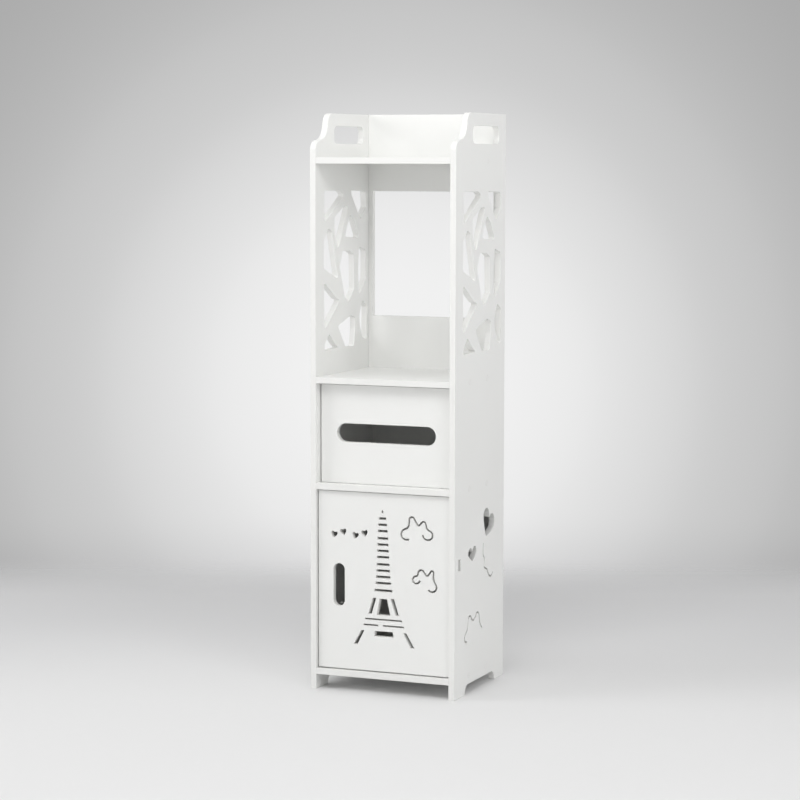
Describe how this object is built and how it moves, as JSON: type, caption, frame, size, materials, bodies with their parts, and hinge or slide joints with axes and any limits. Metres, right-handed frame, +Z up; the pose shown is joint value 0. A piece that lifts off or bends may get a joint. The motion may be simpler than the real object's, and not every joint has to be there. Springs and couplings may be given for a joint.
{
  "type": "bathroom cabinet",
  "caption": "Tall narrow bathroom cabinet of white board with a tray top, pierced side panels, open bay, slotted drawer and a pierced hinged door.",
  "frame": {"origin": "on the floor, under the middle of the cabinet's width and depth", "axes": "+X to the right as seen from the front, +Y to the back, +Z up; the door and drawer face -Y"},
  "size_m": [0.215, 0.193, 0.8],
  "materials": {
    "white_board": "satin white foam board",
    "zinc_steel": "zinc plated",
    "white_cap": "moulded white",
    "nickel_magnet": "nickel plated",
    "beech_dowel": "plain beech"
  },
  "bodies": {
    "carcass": {"side_panel_left": "white_board", "side_panel_right": "white_board", "back_board": "white_board", "top_shelf": "white_board", "middle_shelf": "white_board", "divider_shelf": "white_board", "bottom_board": "white_board", "shelf_screws": "zinc_steel", "screw_caps": "white_cap", "back_screws": "zinc_steel", "door_stop": "white_board", "catch_magnet": "nickel_magnet"},
    "door": {"door_panel": "white_board", "door_pin_top": "zinc_steel", "door_pin_bottom": "zinc_steel", "strike_plate": "zinc_steel"},
    "drawer": {"drawer_front": "white_board", "drawer_side_left": "white_board", "drawer_side_right": "white_board", "drawer_back": "white_board", "drawer_floor": "white_board", "drawer_dowels": "beech_dowel", "drawer_screws": "zinc_steel"}
  },
  "joints": [
    {"name": "door_hinge", "type": "hinge", "parent": "carcass", "child": "door", "pos_m": [0.0905, -0.08675, 0.15525], "axis": [0, 0, 1], "range_deg": [0, 108]},
    {"name": "drawer_slide", "type": "slide", "parent": "carcass", "child": "drawer", "axis": [0, -1, 0], "range_m": [0, 0.15]}
  ]
}
